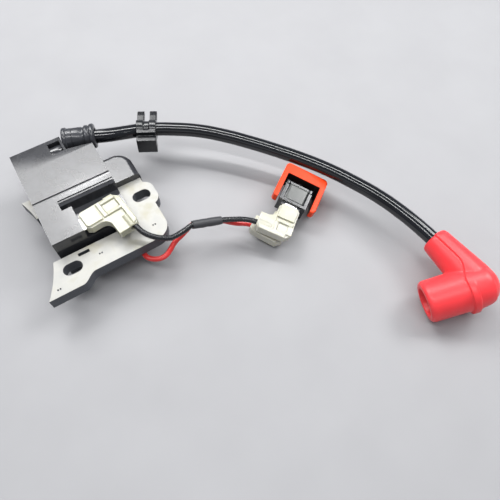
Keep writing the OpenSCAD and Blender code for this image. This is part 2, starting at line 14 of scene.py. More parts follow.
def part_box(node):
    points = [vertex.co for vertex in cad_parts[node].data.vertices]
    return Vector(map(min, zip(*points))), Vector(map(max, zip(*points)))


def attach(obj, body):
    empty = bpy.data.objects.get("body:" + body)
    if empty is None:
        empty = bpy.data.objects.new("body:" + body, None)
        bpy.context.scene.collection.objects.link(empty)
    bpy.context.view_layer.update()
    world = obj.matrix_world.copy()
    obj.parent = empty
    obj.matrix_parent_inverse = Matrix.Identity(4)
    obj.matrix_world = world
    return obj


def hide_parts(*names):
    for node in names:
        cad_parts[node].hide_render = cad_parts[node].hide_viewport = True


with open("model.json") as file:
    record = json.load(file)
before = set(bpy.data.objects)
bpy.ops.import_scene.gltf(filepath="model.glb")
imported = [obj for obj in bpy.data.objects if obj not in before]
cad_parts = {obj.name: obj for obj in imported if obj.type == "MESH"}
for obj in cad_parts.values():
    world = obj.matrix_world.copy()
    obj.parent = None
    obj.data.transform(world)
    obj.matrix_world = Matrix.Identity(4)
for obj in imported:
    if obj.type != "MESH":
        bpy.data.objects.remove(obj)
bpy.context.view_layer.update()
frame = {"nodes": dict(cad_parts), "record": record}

MM = 0.001
WELD = 2e-6  # metres
COIL = "coil_and_leads"
BUTTON = "stop_button"
SLOTS = {s["node"]: s["material_slot"] for s in frame["record"]["subparts"]}

# turns: none, from local Z to X, from local Z to Y, and from local Y to Z
FLAT = Matrix.Identity(4)
TO_X = Matrix.Rotation(math.radians(90), 4, "Y")
TO_Y = Matrix.Rotation(math.radians(-90), 4, "X")
UPRIGHT = Matrix.Rotation(math.radians(90), 4, "X")


def box_mm(node):
    """A CAD node's lowest and highest corners, in millimetres."""
    low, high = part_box(node)
    return low / MM, high / MM


# ---- places that several pieces share, in millimetres and degrees ----
HOUSING_LOW, HOUSING_HIGH = box_mm("coil_housing")
CORE_LOW, CORE_HIGH = box_mm("core_laminations")
LEAD_D = 7.0
WIRE_D = 2.6
BLADE_W = 6.3

# the lead's outlet, its clip, and the middle of the boot's elbow
OUTLET = (-38, 6, 25)
OUTLET_AZ = 69
CLIP = (-26.9, 46, 20)
CLIP_AZ = 63
ELBOW = (130, 133.8, 15.2)
MOUTH_AZ = -108
MOUTH_DIP = -14
INLET_AZ = -178

# the push cap's outer face, the body's offset in it, and the flag covers of the switch
SWITCH = (35.9, 104.8, 8.6)
SWITCH_AZ = -54.7
SWITCH_ROLL = -12.5
BODY_V = -0.6
BLADE_GAP = 3.3
CAP_BAR = 6.1
CAP_INNER = 8.7
FLAG_U = 23.1
WINDOW_X = 10.9

COIL_FLAG = (14.8, -4.9, 26.1)
COIL_FLAG_TURN = 96.9

LEAD_ROUTE = [
    (-38, 6, 25), (-36.2, 10.8, 25), (-34.3, 15.6, 24.8), (-32.3, 21, 24.3),
    (-30.6, 27, 23.4), (-29.3, 34.5, 22), (-26.9, 46, 20), (-20.4, 59, 18.9),
    (-12.9, 70, 18.2), (-3.7, 79.8, 17.6), (7, 89.2, 17.1), (18.2, 98, 16.7),
    (29.5, 106.2, 16.3), (41.7, 113.8, 16), (54.9, 120.3, 15.8), (68, 125.7, 15.6),
    (81.4, 129.5, 15.4), (93.3, 131.7, 15.3), (102.6, 132.8, 15.2), (111, 133.1, 15.2),
    (119.5, 133.4, 15.2),
]
BLACK_ROUTE = [
    (21.2, 13.1, 26.1), (24.2, 13.5, 26.1), (28.1, 15.1, 26), (31.5, 16.3, 25.1),
    (34.1, 18.3, 23.7), (35.9, 20.7, 22.4), (37.3, 23.3, 21.3), (38.4, 26.2, 20.3),
    (38.3, 29.3, 19.6), (37.8, 32.1, 19.1), (37.2, 35, 18.7), (36.5, 39, 18.4),
    (38.3, 45.8, 17.3), (40.1, 52.5, 16.2), (41, 54.9, 16), (42.4, 57.5, 15.9),
    (43.8, 60.5, 15.5), (45.3, 63, 15.1), (48.9, 67, 14.5), (50.7, 68.5, 13.9),
    (52.9, 70.2, 13.3),
]
RED_ROUTE = [
    (28.3, 21, 10.9), (28.3, 18, 10.9), (29.6, 15.4, 10.9), (32.3, 13.6, 10.9),
    (35.7, 13.4, 10.9), (38, 14.6, 10.9), (39.6, 16.7, 10.9), (40.5, 19.2, 10.9),
    (40.3, 21.9, 11), (39, 24.6, 11.3), (37.5, 27.1, 11.9), (36.6, 29.7, 12.9),
    (36.2, 32.8, 14.1), (35.6, 35.7, 15.2), (34.9, 39, 16), (36.7, 45.8, 14.9),
    (38.5, 52.5, 13.8), (39.7, 54.6, 13), (41.5, 57.2, 12), (42.9, 59.9, 10.9),
    (43.9, 62.9, 9.6), (45.7, 65.7, 8.5), (47.6, 67, 7.9), (49.9, 68.4, 7.3),
]
SLEEVE_ENDS = ((35.7, 39, 17.2), (39.3, 52.5, 15))
SLEEVE_ROLL = -57


# ---- helpers: frames ----
def flat_frame(at, azimuth):
    """Local Z points up, and local X points level at the azimuth."""
    return Matrix.Translation(Vector(at)) @ Matrix.Rotation(math.radians(azimuth), 4, "Z")


def level_frame(at, azimuth, rise=0):
    """Local Z points level at the azimuth, and local X points down."""
    return flat_frame(at, azimuth) @ Matrix.Rotation(math.radians(90 - rise), 4, "Y")


BOOT_FRAME = level_frame(ELBOW, MOUTH_AZ, MOUTH_DIP)
INLET_FRAME = level_frame(ELBOW, INLET_AZ)
SWITCH_FRAME = flat_frame(SWITCH, SWITCH_AZ) @ Matrix.Rotation(math.radians(SWITCH_ROLL), 4, "X")
BODY_FRAME = SWITCH_FRAME @ Matrix.Translation((0, BODY_V, 0))
COIL_FLAG_FRAME = flat_frame(COIL_FLAG, COIL_FLAG_TURN)
UPPER_FLAG_FRAME = BODY_FRAME @ flat_frame((FLAG_U, 0, BLADE_GAP), 3)
LOWER_FLAG_FRAME = BODY_FRAME @ flat_frame((FLAG_U + 0.5, -0.5, -BLADE_GAP), -3)


def arc(centre, radius, start, end, steps):
    """Points along an arc, with angles in degrees."""
    points = []
    for i in range(steps + 1):
        a = math.radians(start + (end - start) * i / steps)
        points.append((centre[0] + radius * math.cos(a), centre[1] + radius * math.sin(a)))
    return points


def smoothstep(low, high, value):
    t = min(max((value - low) / (high - low), 0), 1)
    return t * t * (3 - 2 * t)


# ---- helpers: closed forms ----
def bridge(bm, low, high):
    """Side faces between two rings that have as many points."""
    for k in range(len(low)):
        n = (k + 1) % len(low)
        bm.faces.new((low[k], low[n], high[n], high[k]))


def add_prism(bm, outline, low, high, place=FLAT):
    """An outline raised from height low to height high."""
    bottom = [bm.verts.new(place @ Vector((x, y, low))) for x, y in outline]
    top = [bm.verts.new(place @ Vector((x, y, high))) for x, y in outline]
    bm.faces.new(bottom[::-1])
    bm.faces.new(top)
    bridge(bm, bottom, top)


def add_section(bm, profile, y0, y1):
    """A cross section in X and Z, drawn out from y0 to y1."""
    add_prism(bm, profile, -y1, -y0, UPRIGHT)


def add_block(bm, x0, x1, y0, y1, z0, z1):
    add_prism(bm, [(x0, y0), (x1, y0), (x1, y1), (x0, y1)], z0, z1)


def add_turned(bm, profile, place=FLAT, steps=64):
    """A closed form turned about Z, from a profile of (radius, height) points.

    A profile that starts and ends on the axis is solid; any other profile closes on itself."""
    rings = []
    for radius, height in profile:
        count = steps if radius > 0 else 1
        angles = [2 * math.pi * k / steps for k in range(count)]
        rings.append([
            bm.verts.new(place @ Vector((radius * math.cos(a), radius * math.sin(a), height)))
            for a in angles
        ])
    pairs = list(zip(rings, rings[1:]))
    if profile[0][0] > 0:
        pairs.append((rings[-1], rings[0]))
    for low, high in pairs:
        for k in range(steps):
            n = (k + 1) % steps
            if len(low) == 1:
                bm.faces.new((low[0], high[n], high[k]))
            elif len(high) == 1:
                bm.faces.new((low[k], low[n], high[0]))
            else:
                bm.faces.new((low[k], low[n], high[n], high[k]))


def add_loft(bm, rings):
    """A closed form through rings of points, with flat ends."""
    loops = [[bm.verts.new(p) for p in ring] for ring in rings]
    for low, high in zip(loops, loops[1:]):
        bridge(bm, low, high)
    bm.faces.new(loops[0][::-1])
    bm.faces.new(loops[-1])


def make(name, bm, place=FLAT):
    """An object from a mesh in millimetres, put in place and scaled to metres."""
    bmesh.ops.recalc_face_normals(bm, faces=bm.faces)
    bm.transform(Matrix.Scale(MM, 4) @ place)
    mesh = bpy.data.meshes.new(name)
    bm.to_mesh(mesh)
    bm.free()
    obj = bpy.data.objects.new(name, mesh)
    bpy.context.scene.collection.objects.link(obj)
    return obj


def move_to(obj, place):
    """Moves a made piece's mesh from the origin to a frame in millimetres."""
    obj.data.transform(Matrix.Scale(MM, 4) @ place @ Matrix.Scale(1 / MM, 4))


# ---- helpers: modifiers, applied at once ----
def apply_modifiers(obj):
    bpy.context.view_layer.update()
    deps = bpy.context.evaluated_depsgraph_get()
    mesh = bpy.data.meshes.new_from_object(obj.evaluated_get(deps))
    old = obj.data
    obj.modifiers.clear()
    obj.data = mesh
    mesh.name = old.name
    bpy.data.meshes.remove(old)


def drop(obj):
    mesh = obj.data
    bpy.data.objects.remove(obj)
    bpy.data.meshes.remove(mesh)


def combine(obj, other, operation):
    """Cuts the other object from obj, or joins it to obj, and removes the other one."""
    boolean = obj.modifiers.new("combine", "BOOLEAN")
    boolean.operation = operation
    boolean.solver = "EXACT"
    boolean.object = other
    apply_modifiers(obj)
    drop(other)
    return obj


def cut(obj, bm):
    return combine(obj, make("cutter", bm), "DIFFERENCE")


def cut_block(obj, *sides):
    """Cuts a block, given as in add_block, from obj."""
    bm = bmesh.new()
    add_block(bm, *sides)
    cut(obj, bm)


def cut_turned(obj, profile, place, steps):
    """Cuts a turned form, given as in add_turned, from obj."""
    bm = bmesh.new()
    add_turned(bm, profile, place, steps)
    cut(obj, bm)


def fuse(obj, voxel, rounds=3):
    """Joins overlapping closed forms in one skin, with every edge rounded by about one voxel."""
    remesh = obj.modifiers.new("remesh", "REMESH")
    remesh.mode = "VOXEL"
    remesh.voxel_size = voxel * MM
    relax = obj.modifiers.new("relax", "SMOOTH")
    relax.factor = 0.5
    relax.iterations = rounds
    apply_modifiers(obj)
    obj.data.shade_smooth()
    return obj


def tidy_mesh(obj):
    """Welds points and joins faces that lie in one plane."""
    bm = bmesh.new()
    bm.from_mesh(obj.data)
    bmesh.ops.remove_doubles(bm, verts=bm.verts, dist=WELD)
    bmesh.ops.dissolve_limit(
        bm, angle_limit=math.radians(0.5), verts=bm.verts, edges=bm.edges, delimit={"NORMAL"}
    )
    bm.to_mesh(obj.data)
    bm.free()


def soften(obj, width, segments=3):
    """Rounds the sharp edges by width, in millimetres, and shades the result smoothly."""
    tidy_mesh(obj)
    bevel = obj.modifiers.new("bevel", "BEVEL")
    bevel.width = width * MM
    bevel.segments = segments
    bevel.limit_method = "ANGLE"
    bevel.angle_limit = math.radians(32)
    apply_modifiers(obj)
    smooth_faces(obj)
    return flatten_normals(obj)


def smooth_faces(obj, crease=40):
    """Shades a piece smoothly, apart from edges that bend by more than crease degrees."""
    obj.data.shade_smooth()
    obj.data.set_sharp_from_angle(angle=math.radians(crease))


def flatten_normals(obj):
    """Lets the large faces set the shading, so that flat faces look flat."""
    weighted = obj.modifiers.new("weighted", "WEIGHTED_NORMAL")
    weighted.keep_sharp = True
    weighted.weight = 90
    apply_modifiers(obj)
    return obj


def copy_node(node, name):
    """A new object with a welded copy of a CAD node's mesh."""
    mesh = frame["nodes"][node].data.copy()
    mesh.name = name
    mesh.materials.clear()
    obj = bpy.data.objects.new(name, mesh)
    bpy.context.scene.collection.objects.link(obj)
    if "custom_normal" in mesh.attributes:
        mesh.attributes.remove(mesh.attributes["custom_normal"])
    tidy_mesh(obj)
    return obj


# ---- materials ----
class Look:
    """Builds one procedural material. Object coordinates are the frame's own, in metres."""

    def __init__(self, name):
        self.name = name
        self.material = bpy.data.materials.new(name)
        self.material.use_nodes = True
        self.tree = self.material.node_tree
        self.shader = self.tree.nodes["Principled BSDF"]
        self.place = self.add("ShaderNodeTexCoord").outputs["Object"]
        self.normal = None

    def add(self, kind, **values):
        """A new node, with values for the inputs that are named."""
        node = self.tree.nodes.new(kind)
        for key, value in values.items():
            node.inputs[key.replace("_", " ")].default_value = value
        return node

    def link(self, source, target):
        self.tree.links.new(source, target)

    def set(self, **values):
        """Constant values of the shader."""
        for key, value in values.items():
            self.shader.inputs[key.replace("_", " ")].default_value = value
        return self

    def stretched(self, scale):
        node = self.add("ShaderNodeMapping", Scale=scale)
        self.link(self.place, node.inputs["Vector"])
        return node.outputs["Vector"]

    def noise(self, size, detail=3, stretch=None):
        """Noise with features of about size millimetres."""
        node = self.add("ShaderNodeTexNoise", Scale=1 / (size * MM), Detail=detail)
        source = self.place if stretch is None else self.stretched(stretch)
        self.link(source, node.inputs["Vector"])
        return node.outputs["Fac"]

    def cells(self, size):
        """Distance from the middles of cells of about size millimetres."""
        node = self.add("ShaderNodeTexVoronoi", Scale=1 / (size * MM))
        self.link(self.place, node.inputs["Vector"])
        return node.outputs["Distance"]

    def ramp(self, source, stops):
        node = self.add("ShaderNodeValToRGB")
        elements = node.color_ramp.elements
        while len(elements) < len(stops):
            elements.new(0.5)
        for element, (position, colour) in zip(elements, stops):
            element.position = position
            element.color = (*colour, 1)
        self.link(source, node.inputs["Fac"])
        return node.outputs["Color"]

    def spread(self, source, low, high):
        """Draws the middle of a noise's range out to run from low to high."""
        node = self.add(
            "ShaderNodeMapRange", From_Min=0.3, From_Max=0.7, To_Min=low, To_Max=high
        )
        self.link(source, node.inputs["Value"])
        return node.outputs["Result"]

    def calculate(self, operation, first, second=None):
        """A calculation on an output, and on a second output or a constant."""
        node = self.add("ShaderNodeMath")
        node.operation = operation
        self.link(first, node.inputs[0])
        if isinstance(second, bpy.types.NodeSocket):
            self.link(second, node.inputs[1])
        elif second is not None:
            node.inputs[1].default_value = second
        return node.outputs["Value"]

    def colour(self, size, stops):
        """Base colour that varies over patches of about size millimetres."""
        self.link(self.ramp(self.noise(size), stops), self.shader.inputs["Base Color"])
        return self

    def recolour(self, mask, colour):
        """Changes the base colour to another one where the mask is 1."""
        base = self.shader.inputs["Base Color"]
        mix = self.add("ShaderNodeMix")
        mix.data_type = "RGBA"
        mix.inputs["B"].default_value = (*colour, 1)
        self.link(mask, mix.inputs["Factor"])
        self.link(base.links[0].from_socket, mix.inputs["A"])
        self.link(mix.outputs["Result"], base)
        return self

    def recolour_below(self, height, colour):
        """Changes the base colour below a height in millimetres."""
        axes = self.add("ShaderNodeSeparateXYZ")
        self.link(self.place, axes.inputs["Vector"])
        below = self.add(
            "ShaderNodeMapRange", From_Min=(height - 0.05) * MM, From_Max=(height + 0.05) * MM,
            To_Min=1, To_Max=0,
        )
        self.link(axes.outputs["Z"], below.inputs["Value"])
        return self.recolour(below.outputs["Result"], colour)

    def recolour_inside(self, place, ahead, half_width, colour):
        """Changes the base colour where a frame's X is over ahead and its Y within half_width."""
        local = self.add(
            "ShaderNodeMapping", Location=place.translation * MM, Rotation=place.to_euler()
        )
        local.vector_type = "TEXTURE"
        self.link(self.place, local.inputs["Vector"])
        axes = self.add("ShaderNodeSeparateXYZ")
        self.link(local.outputs["Vector"], axes.inputs["Vector"])
        beyond = self.calculate("GREATER_THAN", axes.outputs["X"], ahead * MM)
        width = self.calculate("ABSOLUTE", axes.outputs["Y"])
        within = self.calculate("LESS_THAN", width, half_width * MM)
        return self.recolour(self.calculate("MULTIPLY", beyond, within), colour)

    def roughness(self, size, low, high):
        """Roughness from low to high, in patches of about size millimetres."""
        self.link(self.spread(self.noise(size, 4), low, high), self.shader.inputs["Roughness"])
        return self

    def bump(self, source, depth):
        """Relief of about depth millimetres, on top of any relief that is there already."""
        node = self.add("ShaderNodeBump", Distance=depth * MM, Strength=1)
        self.link(source, node.inputs["Height"])
        if self.normal is not None:
            self.link(self.normal, node.inputs["Normal"])
        self.normal = node.outputs["Normal"]
        self.link(self.normal, self.shader.inputs["Normal"])
        return self


def tones(colour, spread=0.12):
    """Two ramp stops, one darker and one lighter than a colour."""
    dark = tuple(c * (1 - spread) for c in colour)
    light = tuple(min(c * (1 + spread), 1) for c in colour)
    return [(0.35, dark), (0.65, light)]


def moulded_plastic(name, colour, rough, grain=0.012):
    look = Look(name).colour(9, tones(colour)).roughness(1.2, rough - 0.04, rough + 0.05)
    return look.bump(look.noise(0.35, 5), grain)


def core_steel():
    look = Look("core_steel")
    look.colour(8, [
        (0.3, (0.37, 0.355, 0.285)), (0.5, (0.42, 0.415, 0.385)), (0.72, (0.37, 0.37, 0.355)),
    ])
    # Below the top face the colour turns near black: partly the darker bare steel of the punched
    # edges, partly painted shade on the walls and the underside.
    look.recolour_below(CORE_HIGH.z - 0.12, (0.070, 0.075, 0.086))
    look.roughness(0.6, 0.34, 0.46)
    look.bump(look.noise(0.45, 1, (0.01, 0.01, 1)), 0.06)
    look.bump(look.noise(2.5, 2), 0.008)
    return look.set(Metallic=0, Specular_IOR_Level=0.35)


def black_plastic():
    look = Look("black_plastic")
    look.colour(6, tones((0.026, 0.027, 0.031), 0.2))
    look.roughness(0.8, 0.17, 0.22)
    look.bump(look.noise(0.3, 4), 0.0015)
    look.bump(look.noise(9, 2), 0.02)
    return look.set(Specular_IOR_Level=0.75)


def resin():
    look = Look("resin").colour(5, tones((0.022, 0.021, 0.024), 0.2)).roughness(3, 0.08, 0.16)
    look.bump(look.noise(12, 2), 0.12)
    return look


def copper():
    look = Look("copper").colour(2, tones((0.60, 0.27, 0.12))).roughness(0.5, 0.3, 0.4)
    look.bump(look.noise(0.3, 2, (0.1, 0.1, 1)), 0.05)
    return look.set(Metallic=1.0)


def circuit_board():
    look = Look("circuit_board").colour(1, tones((0.04, 0.22, 0.10), 0.2)).roughness(1, 0.3, 0.4)
    look.bump(look.cells(0.6), 0.01)
    return look


def brass_pin():
    look = Look("brass_pin").colour(2, tones((0.78, 0.66, 0.36))).roughness(0.5, 0.24, 0.36)
    look.bump(look.noise(0.1, 3, (1, 0.2, 1)), 0.004)
    return look.set(Metallic=1.0)


def tinned_steel():
    look = Look("tinned_steel").colour(3, tones((0.74, 0.74, 0.73), 0.08))
    look.roughness(0.5, 0.22, 0.36)
    look.bump(look.noise(0.1, 3, (0.2, 1, 1)), 0.004)
    return look.set(Metallic=1.0)


def spring_steel():
    look = Look("spring_steel").colour(2, tones((0.6, 0.6, 0.62))).roughness(0.5, 0.25, 0.35)
    return look.set(Metallic=1.0)


def black_rubber():
    look = Look("black_rubber").colour(4, tones((0.036, 0.038, 0.044), 0.15))
    look.roughness(0.7, 0.22, 0.28)
    look.bump(look.noise(0.3, 4), 0.003)
    return look.set(Specular_IOR_Level=0.5)


def lead_jacket():
    look = Look("lead_jacket").colour(12, tones((0.006, 0.007, 0.009), 0.25))
    look.roughness(3, 0.10, 0.13)
    look.bump(look.noise(12, 1), 0.004)
    return look.set(Specular_IOR_Level=0.65)


def red_rubber():
    look = Look("red_rubber")
    look.colour(9, tones((0.84, 0.048, 0.056), 0.04))
    look.roughness(1.5, 0.34, 0.42)
    look.bump(look.noise(0.4, 4), 0.006)
    look.bump(look.noise(6, 2), 0.04)
    return look.set(
        Subsurface_Weight=0.15, Subsurface_Radius=(1.0, 0.2, 0.16), Subsurface_Scale=0.0015,
        Specular_IOR_Level=0.4,
    )


def cream_nylon():
    look = Look("cream_nylon")
    look.colour(5, [(0.3, (0.44, 0.43, 0.33)), (0.7, (0.48, 0.475, 0.40))])
    # Beyond the bar the wing is painted darker on the coil's cover as painted shade, and lighter on
    # the lower cover as painted light.
    look.recolour_inside(COIL_FLAG_FRAME, WINDOW_X, 17, (0.35, 0.345, 0.26))
    look.recolour_inside(LOWER_FLAG_FRAME, WINDOW_X, 17, (0.49, 0.48, 0.41))
    look.roughness(1.0, 0.20, 0.28)
    look.bump(look.noise(0.5, 3), 0.005)
    return look.set(
        Subsurface_Weight=0.5, Subsurface_Radius=(1.0, 0.92, 0.6), Subsurface_Scale=0.0018,
        Specular_IOR_Level=0.5,
    )


def orange_plastic():
    look = Look("orange_plastic")
    look.colour(7, tones((0.78, 0.055, 0.010), 0.05))
    # Painted shade: everything inside the U of the cap, the stem too, is painted near black.
    look.recolour_inside(SWITCH_FRAME, CAP_BAR - 0.15, CAP_INNER + 0.15, (0.012, 0.008, 0.008))
    look.roughness(1.2, 0.30, 0.38)
    look.bump(look.noise(0.5, 3), 0.006)
    return look.set(Specular_IOR_Level=0.16)


def build_looks():
    looks = [
        core_steel(), black_plastic(), resin(), copper(), circuit_board(), brass_pin(),
        tinned_steel(), spring_steel(), black_rubber(), lead_jacket(), red_rubber(),
        cream_nylon(), orange_plastic(),
        moulded_plastic("bobbin_nylon", (0.60, 0.57, 0.46), 0.4),
        moulded_plastic("component_plastic", (0.05, 0.05, 0.055), 0.4),
        moulded_plastic("clip_nylon", (0.012, 0.013, 0.015), 0.2),
        moulded_plastic("black_pvc", (0.010, 0.011, 0.013), 0.26),
        moulded_plastic("red_pvc", (0.62, 0.035, 0.032), 0.22),
        moulded_plastic("shrink_sleeve", (0.035, 0.036, 0.040), 0.5, 0.02),
        moulded_plastic("grey_plastic", (0.085, 0.09, 0.086), 0.2),
    ]
    return {look.name: look.material for look in looks}


LOOKS = build_looks()


def finish_piece(obj, slot, body, *nodes):
    """Gives a piece its material and its body, and hides the CAD nodes that it stands for."""
    obj.data.materials.clear()
    obj.data.materials.append(LOOKS[slot])
    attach(obj, body)
    if nodes:
        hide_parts(*nodes)
    return obj


# ---- camera ----
CAMERA_AT = (156.28, -2.73, 220)
CAMERA_AZ = 58.5
CAMERA_PITCH = 61.3


def add_camera():
    """The camera looks along the azimuth, down by the pitch."""
    azimuth = math.radians(CAMERA_AZ)
    pitch = math.radians(CAMERA_PITCH)
    data = bpy.data.cameras.new("camera")
    data.lens = 36
    data.sensor_width = 36
    data.clip_start = 0.01
    camera = bpy.data.objects.new("camera", data)
    level = Vector((-math.sin(azimuth), math.cos(azimuth), 0)) * math.cos(pitch)
    ahead = level - Vector((0, 0, math.sin(pitch)))
    camera.location = Vector(CAMERA_AT) * MM
    camera.rotation_euler = ahead.to_track_quat("-Z", "Y").to_euler()
    bpy.context.scene.collection.objects.link(camera)
    bpy.context.scene.camera = camera


# ---- cords ----
def cord_curve(name, route, diameter):
    """A round cord along a route, all in millimetres."""
    curve = bpy.data.curves.new(name, "CURVE")
    curve.dimensions = "3D"
    spline = curve.splines.new("BEZIER")
    spline.bezier_points.add(len(route) - 1)
    for point, place in zip(spline.bezier_points, route):
        point.co = Vector(place) * MM
        point.handle_left_type = "AUTO"
        point.handle_right_type = "AUTO"
    spline.resolution_u = 10
    curve.bevel_depth = diameter * MM / 2
    curve.bevel_resolution = 7
    curve.use_fill_caps = True
    obj = bpy.data.objects.new(name, curve)
    bpy.context.scene.collection.objects.link(obj)
    return obj


def add_cords():
    """The lead and the two stop wires, each a round cord along its route."""
    cords = [
        ("high_tension_lead", LEAD_ROUTE, LEAD_D, "lead_jacket", "ht_lead", 0.2216, "stiff",
         ["plug_boot", "lead_clip", "lead_grommet", "clip_of_plug_terminal"]),
        ("black_stop_wire", BLACK_ROUTE, WIRE_D, "black_pvc", "black_wire", 0.074, "medium",
         ["flag_upper", "sleeve", "receptacle_upper", "blade_upper"]),
        ("red_stop_wire", RED_ROUTE, WIRE_D, "red_pvc", "red_wire", 0.0774, "medium",
         ["flag_lower", "receptacle_lower", "blade_lower", "switch_case", "switch_panel",
          "push_cap"]),
    ]
    for name, route, diameter, slot, node, length, stiffness, pieces in cords:
        curve = cord_curve(name, route, diameter)
        finish_piece(curve, slot, COIL, node)


add_camera()


# ---- core ----
LAMINATIONS = 13
LAMINATION_GROOVE = 0.05
PUNCH_ROLL = 0.14
INTERLOCKS = ((28.2, -4.1), (35.6, -27), (27.2, 23.4))


def flat_loops(node, z):
    """The closed edges of a CAD node's flat underside at height z, as lists of (x, y)."""
    bm = bmesh.new()
    bm.from_mesh(frame["nodes"][node].data)
    bmesh.ops.remove_doubles(bm, verts=bm.verts, dist=WELD)
    level = z * MM
    flat = [f for f in bm.faces if all(abs(v.co.z - level) < 1e-5 for v in f.verts)]
    inside = set(flat)
    following = {}
    for face in flat:
        for loop in face.loops:
            if sum(f in inside for f in loop.edge.link_faces) == 1:
                following[loop.vert] = loop.link_loop_next.vert
    loops = []
    while following:
        start, vert = following.popitem()
        points = [start]
        while vert is not start:
            points.append(vert)
            vert = following.pop(vert)
        loops.append([Vector((v.co.x / MM, v.co.y / MM)) for v in reversed(points)])
    bm.free()
    return loops


def inset_loop(loop, amount):
    """Moves a loop by amount towards the material, which lies on its left."""
    moved = []
    for i, point in enumerate(loop):
        before = (point - loop[i - 1]).normalized()
        after = (loop[(i + 1) % len(loop)] - point).normalized()
        left_before = Vector((-before.y, before.x))
        left_after = Vector((-after.y, after.x))
        mitre = (left_before + left_after) / max(1 + left_before.dot(left_after), 0.4)
        moved.append(point + mitre * amount)
    return moved


def core():
    """The stack of laminations, with a groove between each two and rolled punched edges."""
    loops = flat_loops("core_laminations", CORE_LOW.z)
    thickness = (CORE_HIGH.z - CORE_LOW.z) / LAMINATIONS
    levels = [(CORE_LOW.z, PUNCH_ROLL), (CORE_LOW.z + 0.1, 0)]
    for i in range(1, LAMINATIONS):
        joint = CORE_LOW.z + i * thickness
        levels += [(joint - 0.07, 0), (joint, LAMINATION_GROOVE), (joint + 0.07, 0)]
    levels += [(CORE_HIGH.z - 0.14, 0), (CORE_HIGH.z - 0.04, 0.05), (CORE_HIGH.z, PUNCH_ROLL)]
    bm = bmesh.new()
    caps = {0: [], len(levels) - 1: []}
    for loop in loops:
        rings = []
        for z, inset in levels:
            rings.append([bm.verts.new((p.x, p.y, z)) for p in inset_loop(loop, inset)])
        for low, high in zip(rings, rings[1:]):
            bridge(bm, low, high)
        for index, edges in caps.items():
            ring = rings[index]
            for k in range(len(ring)):
                edges.append(bm.edges.get((ring[k], ring[(k + 1) % len(ring)])))
    for edges in caps.values():
        bmesh.ops.triangle_fill(bm, use_beauty=True, use_dissolve=False, edges=edges)
    obj = make("core_stack", bm)
    locks = bmesh.new()
    for x, y in INTERLOCKS:
        for side in (-1, 1):
            centre = y + side * 0.55
            add_prism(
                locks, [(-0.45, -0.35), (0.45, -0.35), (0.45, 0.35), (-0.45, 0.35)],
                CORE_HIGH.z - 0.45, CORE_HIGH.z + 1, Matrix.Translation((x, centre, 0)),
            )
    cut(obj, locks)
    smooth_faces(obj, 30)
    flatten_normals(obj)
    return finish_piece(obj, "core_steel", COIL, "core_laminations")


# ---- coil housing ----
STEP_X = -5
SLOPE_X = -24.5
TOP_Z = 29
BACK_Z = 27.4
FRONT_Z = 28.5


def housing_block(bm):
    """The main block: sloping back, flat top, low ridge along the step, lower front."""
    x0, x1 = HOUSING_LOW.x, HOUSING_HIGH.x
    profile = [
        (x0, 0), (x0, BACK_Z), (SLOPE_X, TOP_Z), (STEP_X - 0.8, TOP_Z),
        (STEP_X - 0.6, TOP_Z + 0.2), (STEP_X - 0.1, TOP_Z + 0.2), (STEP_X + 0.2, FRONT_Z + 0.15),
        (STEP_X + 1.2, FRONT_Z),
        (x1, FRONT_Z), (x1, 0),
    ]
    add_section(bm, profile, HOUSING_LOW.y, 17)


def lobe(bm):
    """Hood over the corner of the core, with a broad round along its top."""
    x0, x1, y1, radius, top = -19, -1.2, 30.1, 8, 23
    fillet = 3.2
    layers = [(0, 7.5)]
    layers += [
        (fillet * (1 - math.cos(a)), top - fillet + fillet * math.sin(a))
        for a in (math.radians(degrees) for degrees in range(0, 91, 15))
    ]
    rings = []
    for inset, z in layers:
        corner = arc((x0 + radius, y1 - radius), radius - inset, 180, 90, 12)
        outline = [(x0 + inset, 16), *corner, (x1, y1 - inset), (x1, 16)]
        rings.append([Vector((x, y, z)) for x, y in outline])
    add_loft(bm, rings)


def housing():
    """The block and the hood with their recesses, and the round boss in the pocket."""
    block = bmesh.new()
    housing_block(block)
    obj = make("housing", block)
    hood = bmesh.new()
    lobe(hood)
    combine(obj, make("hood", hood), "UNION")
    outer = 60
    recess = bmesh.new()
    add_prism(recess, [(-50, 4.5), (-28.5, 4.5), (-25, 18), (-50, 18)], 16, outer)
    cut(obj, recess)
    cut_block(obj, -36.5, -28.4, -2.6, 3.4, 23.6, outer)  # pocket beside the grommet
    trough = bmesh.new()
    floor_line = [(-1.4, 28), (-0.4, 27.9), (-0.4, 27.6), (1.2, 27.2), (2.2, 22.6), (4.6, 21.8)]
    add_section(trough, [(-1.4, outer), *floor_line, (4.6, outer)], -10.6, 30)
    cut(obj, trough)
    cut_block(obj, 4.5, 30, -5.9, 30, 21.8, outer)  # seat of the flag cover
    passage = bmesh.new()
    add_block(passage, -17.1, -4.4, -30, 18, 12.4, 19.1)
    add_block(passage, -17.1, 10, 16.9, 29.6, 12.4, 19.1)
    cut(obj, passage)
    cut_block(obj, -36.5, 17, -18.5, 14.5, -1, 12.9)  # cavity for the windings
    soften(obj, 0.25)
    finish_piece(obj, "black_plastic", COIL, "coil_housing")
    boss = bmesh.new()
    add_turned(
        boss, [(0, 0), (3.55, 0), (3.7, 0.15), (3.7, 6), (3.55, 6.2), (0, 6.2)],
        Matrix.Translation((-32.45, -2.7, 23.7)) @ TO_Y,
    )
    obj = make("housing_pocket_boss", boss)
    smooth_faces(obj)
    finish_piece(obj, "black_plastic", COIL)


